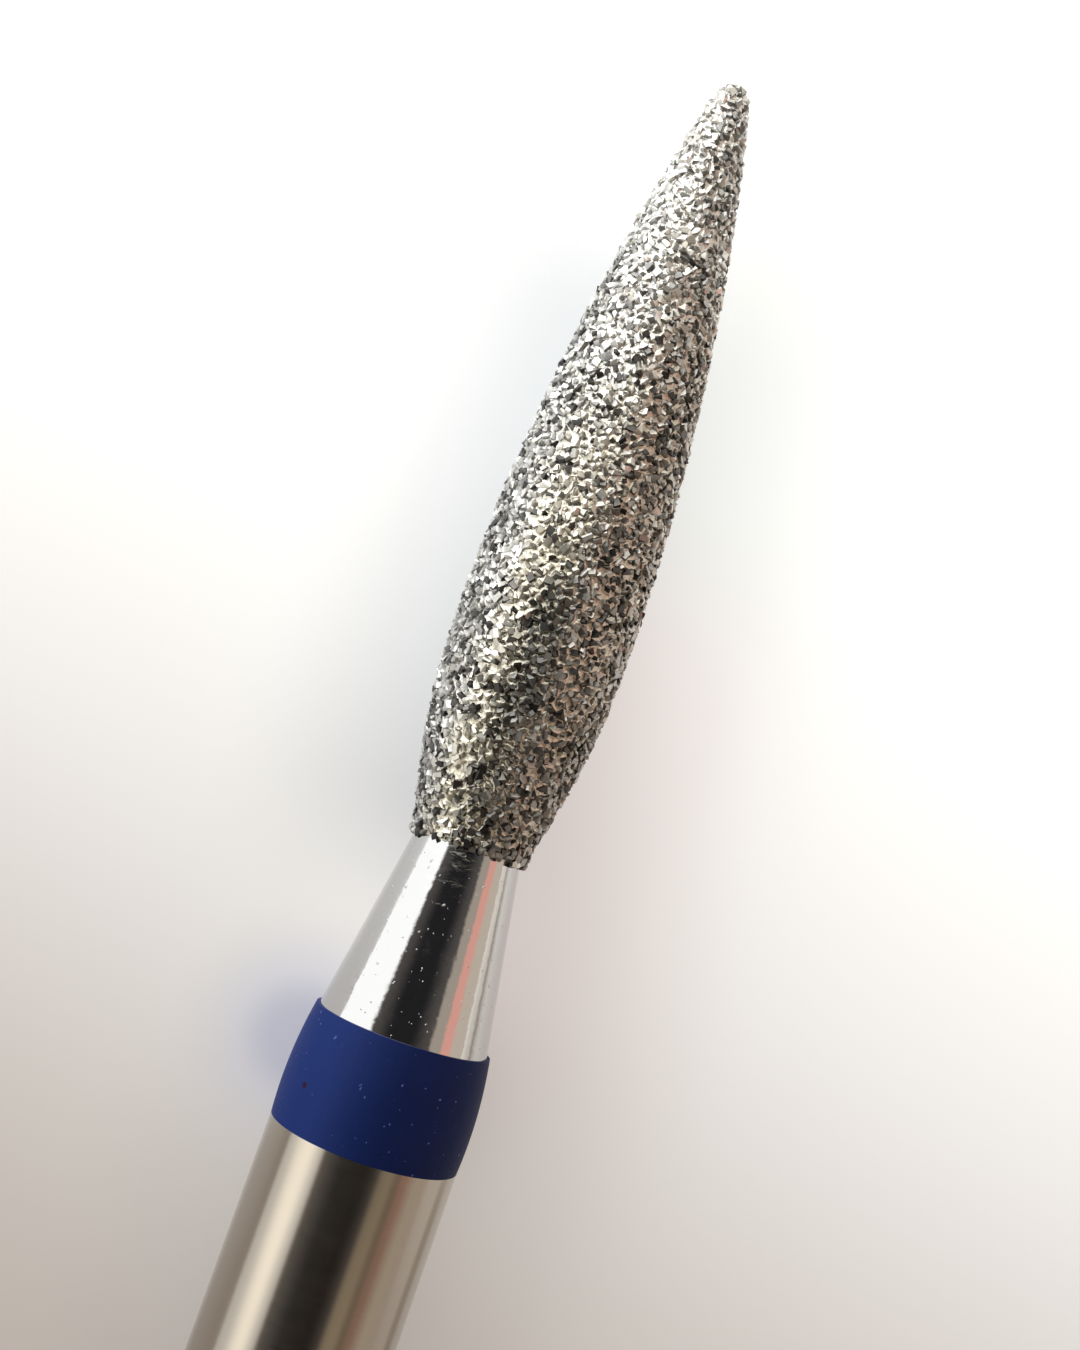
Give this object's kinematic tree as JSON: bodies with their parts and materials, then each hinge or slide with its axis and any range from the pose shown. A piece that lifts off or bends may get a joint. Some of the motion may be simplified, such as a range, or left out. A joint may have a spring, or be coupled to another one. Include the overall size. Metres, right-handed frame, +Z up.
{
  "type": "dental bur",
  "caption": "Flame-shaped diamond-coated dental bur with a conical neck, a blue colour ring and a long straight round shank.",
  "frame": {"origin": "centre of the flat face at the shank's rear end", "axes": "+X along the bur's axis towards its tip, +Z up as it lies on a table, +Y across"},
  "size_m": [0.0445, 0.0024, 0.0024],
  "materials": {
    "steel": "satin ground shank, polished neck",
    "diamond_grit": "diamond grains bonded in bright nickel",
    "blue_enamel": "satin enamel"
  },
  "bodies": {
    "root": {"steel_blank": "steel", "diamond_coat": "diamond_grit", "colour_ring": "blue_enamel"}
  },
  "joints": []
}
